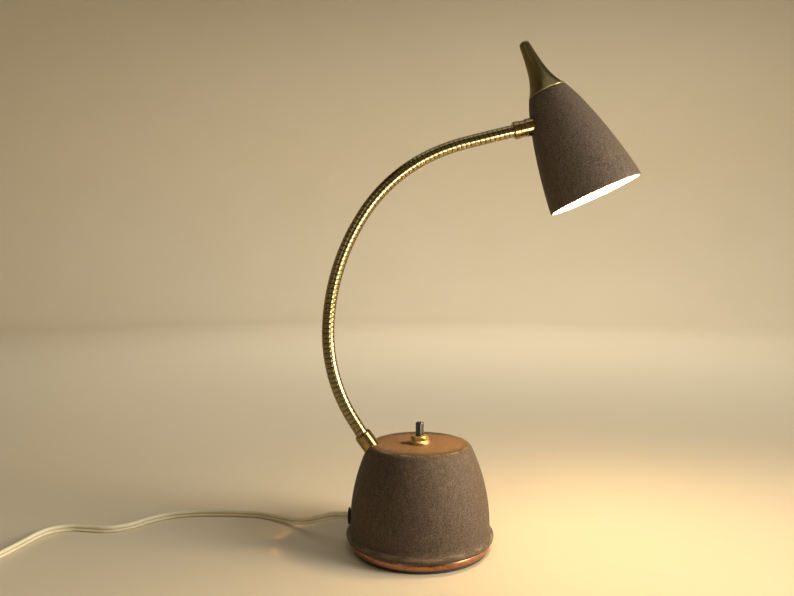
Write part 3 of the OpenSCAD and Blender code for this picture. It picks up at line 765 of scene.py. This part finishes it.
# %% Base shell
base_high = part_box("base_shell")[1]
BASE_R = base_high.x / MM
BASE_H = base_high.z / MM
LIP_Z = 8.2
SHOULDER_R = 5
SIDE_R = 150
SIDE_TOP = math.radians(26)
SIDE_FOOT = math.radians(1)
BEAD_R = 3
FLARE_R = 5
WALL = 1.2
bead = Vector((BASE_R - BEAD_R, LIP_Z + BEAD_R))
foot_r = bead.x - 0.35
side_x = foot_r - SIDE_R * math.cos(SIDE_FOOT)
side_z = BASE_H - SHOULDER_R - (SIDE_R - SHOULDER_R) * math.sin(SIDE_TOP)
shoulder_x = side_x + (SIDE_R - SHOULDER_R) * math.cos(SIDE_TOP)
flare_x = foot_r + FLARE_R
flare = Vector((flare_x, bead.y + math.sqrt((BEAD_R + FLARE_R) ** 2 - (flare_x - bead.x) ** 2)))
flare_turn = math.degrees(math.atan2(flare.y - bead.y, flare.x - bead.x))
FLAT_RINGS = 8


def base_side(inside):
    """The side from the top's middle to its foot, inside the outer face by that much."""
    flat = [(shoulder_x * i / FLAT_RINGS, BASE_H - inside) for i in range(FLAT_RINGS)]
    top, foot = math.degrees(SIDE_TOP), math.degrees(SIDE_FOOT)
    shoulder = arc((shoulder_x, BASE_H - SHOULDER_R), SHOULDER_R - inside, 90, top, 12)
    return flat + shoulder + arc((side_x, side_z), SIDE_R - inside, top - 1, foot, 30)


def base_outline():
    flared = arc(flare, FLARE_R, 180, 180 + flare_turn, 10)
    beaded = arc(bead, BEAD_R, flare_turn, -90, 18)[1:]
    return base_side(0) + flared + beaded + [(foot_r - WALL, LIP_Z)] + base_side(WALL)[::-1]


base_shell = finish_piece("base_shell_painted", lathe(base_outline(), 192), base_paint)
dress(base_shell, "base", "wrinkle_paint", "base_shell")

# %% [markdown]
# ## Shade and finial
# The shade is spun sheet: a bullet with its hem rolled inwards, painted brown outside and white inside. The
# horn on top is a turned finial. Both are made upright on the lathe and then turned into the head's frame,
# which comes from the swivel's own joint.

# %% The head's frame
SHADE_TILT = 23.6
SHADE_ROLL = 5.6
SEAM_UP = 26.5
swivel = joints["shade_swivel"]
swivel_place = Vector(swivel["pos_m"])
swivel_axis = Vector(swivel["axis"])
head_frame = (
    Matrix.Translation(swivel_place)
    @ Matrix.Rotation(math.radians(-SHADE_ROLL), 4, swivel_axis)
    @ Matrix.Rotation(math.radians(-SHADE_TILT), 4, "Y")
    @ Matrix.Translation((0, 0, SEAM_UP * MM))
)


def in_head(bm):
    """Turns a mesh that was made upright on the lathe into the head's frame."""
    bmesh.ops.transform(bm, matrix=head_frame, verts=bm.verts)
    return bm


print("seam:", [round(x, 4) for x in head_frame.translation])

# %% Shade
SHADE_H = 98
SHADE_R = 40.75
SEAM_R = 17
SHADE_WALL = 0.8
HEM_R = 0.9
CROWN_R = 0.7
SHADE_CURVE = [(SEAM_R, 0), (24.7, -0.143 * SHADE_H), (36.6, -0.616 * SHADE_H), (SHADE_R, -SHADE_H)]


def shade_mesh():
    outer = curve(SHADE_CURVE, 48)
    crown = arc((SEAM_R - CROWN_R, -CROWN_R), CROWN_R, 90, 20, 4)
    hem = arc((SHADE_R - HEM_R, -SHADE_H), HEM_R, 0, -200, 10)
    inner = [(radius - SHADE_WALL, height) for radius, height in outer[::-1] if height < -SHADE_WALL]
    outline = [(0, 0)] + crown + outer[1:] + hem[1:] + inner[1:] + [(0, -SHADE_WALL)]
    bm = lathe(outline, 160)
    for face in bm.faces:
        middle = face.calc_center_median()
        inwards = face.normal.x * middle.x + face.normal.y * middle.y < 0
        face.material_index = int(inwards or face.normal.z < -0.7 and middle.z > -SHADE_H * 0.5 * MM)
    return in_head(bm)


shade = finish_piece("shade_painted", shade_mesh(), shade_paint, enamel)
dress(shade, "head", "wrinkle_paint", "shade")

# %% Finial
FINIAL_H = 50.5
TIP_R = 4.6
DOME_H = 3.4
GAP = 0.4
LIP_R = 0.3
SEAT_R = SEAM_R - 1.2
SEAT_Z = 0.05
TIP_Z = FINIAL_H - DOME_H
FINIAL_CURVE = [(SEAM_R - 0.2, 1.3), (8, 0.25 * FINIAL_H), (6.6, 0.6 * FINIAL_H), (TIP_R, TIP_Z)]


def finial_mesh():
    gap = [(0, SEAT_Z), (SEAT_R, SEAT_Z), (SEAT_R, GAP)]
    rim = arc((SEAM_R - LIP_R, GAP + LIP_R), LIP_R, -90, 60, 8)
    round_tip = arc((0, 0), 1, 0, 90, 9)[1:]
    dome = [(TIP_R * across, TIP_Z + DOME_H * up) for across, up in round_tip]
    bm = lathe(gap + rim + curve(FINIAL_CURVE, 36)[1:] + dome, 96)
    # The lip at the finial's foot takes the paler satin brass: a brighter finish, and a painted highlight
    # along the seam.
    for face in bm.faces:
        face.material_index = int(face.calc_center_median().z < (GAP + 2 * LIP_R) * MM)
    return in_head(bm)


finial = finish_piece("finial_toned", finial_mesh(), toned_brass, satin_brass)
dress(finial, "head", "antique_brass", "finial")

# %% [markdown]
# ## Bulb
# A small round bulb stands in its socket inside the shade. Its outline is a neck that swells into a ball.

# %% Bulb
BULB_R = 23
BULB_NECK = -44
BULB_TIP = -94


def bulb_mesh():
    ball = BULB_TIP + BULB_R
    neck = curve([(12.4, BULB_NECK - 4), (14, BULB_NECK - 14), (BULB_R, ball + 14), (BULB_R, ball)], 16)
    return in_head(lathe([(12, BULB_NECK)] + neck + arc((0, ball), BULB_R, 0, -90, 18)[1:], 64))


bulb = finish_piece("bulb_lit", bulb_mesh(), lit_glass)
dress(bulb, "head", "frosted_glass", "bulb_glass")

# %% [markdown]
# ## Gooseneck
# The neck is a strip of brass wound into a hose, so its ridges are one long screw thread, not rings. A screw
# is a spin that climbs as it turns. The outline of one ridge, spun with a rise of one pitch per turn,
# closes on itself, and merging the doubles makes the hose whole. Each stretch, from the middle of one CAD
# link to the middle of the next, is then bent to the arc that touches both links. Its two ends on the links'
# bodies are worked out, listed from the head's side in the upper half of the neck, since with every joint at
# its limit, rounding in a blend from the base's side threw two stretches of the upper half far off. The
# stretches are not blended between those bodies or put on any body: they stay where they are built.

# %% The neck's line
NECK_R = 5.5
CROWN = 0.05
GROOVE_DEPTH = 0.5
GROOVE_W = 0.7
PITCH = 4.28
COLLAR_TOP = Vector((-50.2, 0, 96.3)) * MM
HEAD_REACH = 42.4
neck_joints = [joint for joint in frame["joints"] if joint["name"].startswith("neck_")]
pivots = [Vector(joint["pos_m"]) for joint in neck_joints]
neck_end = swivel_place - HEAD_REACH * MM * swivel_axis
stops = [COLLAR_TOP, *pivots, neck_end]
middles = [(a + b) / 2 for a, b in zip(stops, stops[1:])]
headings = [math.atan2((b - a).x, (b - a).z) for a, b in zip(stops, stops[1:])]
half_links = [(b - a).length / 2 for a, b in zip(stops, stops[1:])]
turns = [b - a for a, b in zip(headings, headings[1:])]


def arc_length(index):
    """Length of the arc that touches two links at their middles."""
    half_turn = turns[index] / 2
    straight = half_links[index] + half_links[index + 1]
    return straight if abs(half_turn) < 1e-6 else straight * half_turn / math.tan(half_turn)


lengths = [arc_length(index) for index in range(len(turns))]
stations = [sum(lengths[:index]) for index in range(len(turns))]
print("neck:", round(sum(lengths) / MM, 1), "mm in", len(lengths), "stretches")


# %% Wind, cut and bend one stretch
def ridge_outline():
    """One pitch of the hose, from groove to groove: a broad, barely crowned band and a narrow groove."""
    shoulder = NECK_R - CROWN
    half = GROOVE_W / 2
    band = PITCH - GROOVE_W
    crown = [(shoulder + CROWN * math.sin(math.pi * i / 6), half + band * i / 6) for i in range(7)]
    lip = 0.35 * GROOVE_DEPTH
    made = [(shoulder - GROOVE_DEPTH, 0), (shoulder - lip, 0.72 * half)] + crown
    return made + [(shoulder - lip, PITCH - 0.72 * half), (shoulder - GROOVE_DEPTH, PITCH)]


STEPS_PER_TURN = 40


def wound_hose(low, high):
    """A straight stretch of hose between two stations, in metres, wound round the Z axis."""
    first = math.floor(low / MM / PITCH) - 1
    wound = math.ceil(high / MM / PITCH) + 1 - first
    bm = bmesh.new()
    outline = [(radius, height + first * PITCH) for radius, height in ridge_outline()]
    verts = [bm.verts.new((radius * MM, 0, height * MM)) for radius, height in outline]
    edges = [bm.edges.new(pair) for pair in zip(verts, verts[1:])]
    steps = STEPS_PER_TURN * wound
    bmesh.ops.spin(
        bm, geom=verts + edges, cent=(0, 0, 0), axis=(0, 0, 1), angle=math.tau * wound, steps=steps,
        dvec=(0, 0, PITCH * MM / STEPS_PER_TURN),
    )
    bmesh.ops.remove_doubles(bm, verts=bm.verts, dist=2e-6)
    bmesh.ops.recalc_face_normals(bm, faces=bm.faces)
    for height, above in ((low, False), (high, True)):
        bmesh.ops.bisect_plane(
            bm, geom=bm.verts[:] + bm.edges[:] + bm.faces[:], plane_co=(0, 0, height), plane_no=(0, 0, 1),
            clear_inner=not above, clear_outer=above,
        )
    return bm


def bent(place, index):
    """Where a point of the straight hose lies on the bent neck."""
    run = place.z - stations[index]
    start, turn, length = headings[index], turns[index], lengths[index]
    share = min(max(run / length, 0), 1)
    heading = start + turn * share
    if abs(turn) < 1e-6:
        line = middles[index] + share * length * Vector((math.sin(start), 0, math.cos(start)))
    else:
        across = Vector((math.cos(start) - math.cos(heading), 0, math.sin(heading) - math.sin(start)))
        line = middles[index] + length / turn * across
    beyond = run - share * length
    line += beyond * Vector((math.sin(heading), 0, math.cos(heading)))
    return line + place.x * Vector((math.cos(heading), 0, -math.sin(heading))) + Vector((0, place.y, 0))


COLLAR_DEPTH = 6
FERRULE_DEPTH = 3
BLEND_INSET = 1.0


def neck_stretch(index):
    joint = neck_joints[index]
    low, high = stations[index], stations[index] + lengths[index]
    if index == 0:
        low -= half_links[0] + COLLAR_DEPTH * MM
    if index == len(turns) - 1:
        high += half_links[-1] + FERRULE_DEPTH * MM
    bm = wound_hose(low, high)
    groove = bm.verts.layers.float.new("groove")
    for vert in bm.verts:
        radius = math.hypot(vert.co.x, vert.co.y) / MM
        vert[groove] = min(max((NECK_R - CROWN - radius) / GROOVE_DEPTH, 0), 1)
        vert.co = bent(vert.co, index)
    piece = finish_piece(f"neck_hose_{index + 1:02d}", bm, hose_brass)
    reach = half_links[index] - BLEND_INSET * MM
    way_in = Vector((math.sin(headings[index]), 0, math.cos(headings[index])))
    way_out = Vector((math.sin(headings[index + 1]), 0, math.cos(headings[index + 1])))
    ends = [
        (joint["parent"], pivots[index] - reach * way_in),
        (joint["child"], pivots[index] + reach * way_out),
    ]
    if index >= len(turns) // 2:
        ends.reverse()
    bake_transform(piece)
    return piece


hoses = [neck_stretch(index) for index in range(len(turns))]
for number, hose in enumerate(hoses, 1):
    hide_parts(f"neck_link_{number:02d}")
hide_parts(f"neck_link_{len(hoses) + 1:02d}")

# %% [markdown]
# ## Copper ring and button
# A plated band shows its shape by what runs along it, so the ring gets a soft crown where its solid is flat.
# It has had a knock on its upper edge: the points near one place are pushed inwards. The button
# gets a rounder crown for the same reason.

# %% Copper ring
trim_low, trim_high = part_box("trim_ring")
TRIM_R = trim_high.x / MM
TRIM_IN = TRIM_R - 1.6
TRIM_CROWN_R = 6
FLANGE_LOW = 4.1
FLANGE_TOP = 5.1
FLANGE_IN = TRIM_IN - 3.6
NICK = Vector((6.9, -60.4, 8.0)) * MM
NICK_R = 2.4 * MM
NICK_DEPTH = 0.9 * MM


def trim_mesh():
    low, high = trim_low.z / MM, trim_high.z / MM
    lean = math.degrees(math.asin((high - low) / 2 / TRIM_CROWN_R))
    band = arc((TRIM_R - TRIM_CROWN_R, (low + high) / 2), TRIM_CROWN_R, lean, -lean, 14)
    flange = [(TRIM_IN, FLANGE_LOW), (FLANGE_IN, FLANGE_LOW), (FLANGE_IN, FLANGE_TOP), (TRIM_IN, FLANGE_TOP)]
    bm = lathe(band + [(TRIM_IN, low)] + flange + [(TRIM_IN, high)], 400, closed=True)
    for vert in bm.verts:
        near = max(1 - (vert.co - NICK).length / NICK_R, 0)
        vert.co += near * near * NICK_DEPTH * Vector((-vert.co.x, -vert.co.y, 0)).normalized()
    return bm


trim_ring = finish_piece("trim_ring_plated", trim_mesh(), copper)
dress(trim_ring, "base", "copper_trim", "trim_ring")

# %% Button
button_low, button_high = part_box("push_button")
BUTTON_R = button_high.x / MM
BUTTON_EDGE_R = 1.3
BUTTON_DOME = 0.4


def button_mesh():
    low, high = button_low.z / MM, button_high.z / MM
    edge = arc((BUTTON_R - BUTTON_EDGE_R, high - BUTTON_DOME - BUTTON_EDGE_R), BUTTON_EDGE_R, 0, 78, 8)
    return lathe([(0, low), (BUTTON_R, low)] + edge + [(0, high)], 72)


button = finish_piece("button_cap", button_mesh(), bakelite)
dress(button, "button", "bakelite", "push_button")

# %% [markdown]
# ## Finishes for the solids that stay
# The other CAD solids already have the right shape, so they keep it and only get a finish.

# %% Finishes for the solids
NODE_FINISHES = {
    satin_brass: ["switch_bushing", "switch_ring", "switch_nut"],
    brass: ["neck_collar", "upper_ferrule", "shade_collar", "socket_shell", "socket_contact", "plug_blades"],
    zinc: [
        "base_plate", "base_plate_screws", "ballast_bolt", "ballast_nut", "neck_nipple", "neck_saddle_washer",
        "neck_locknut", "head_nipple", "head_saddle_washer", "head_locknut", "finial_stud", "finial_nut",
        "socket_bracket", "bulb_contact",
    ],
    aluminium: ["bulb_base"],
    iron: ["ballast_weight"],
    rubber: ["cord_grommet"],
    bakelite: ["switch_body"],
    porcelain: ["socket_body"],
    dark_felt: ["felt_pad"],
    tie_plastic: ["coil_tie"],
}
for material, names in NODE_FINISHES.items():
    for name in names:
        nodes[name].data.materials.clear()
        nodes[name].data.materials.append(material)
print("solids with a finish:", sum(len(names) for names in NODE_FINISHES.values()))
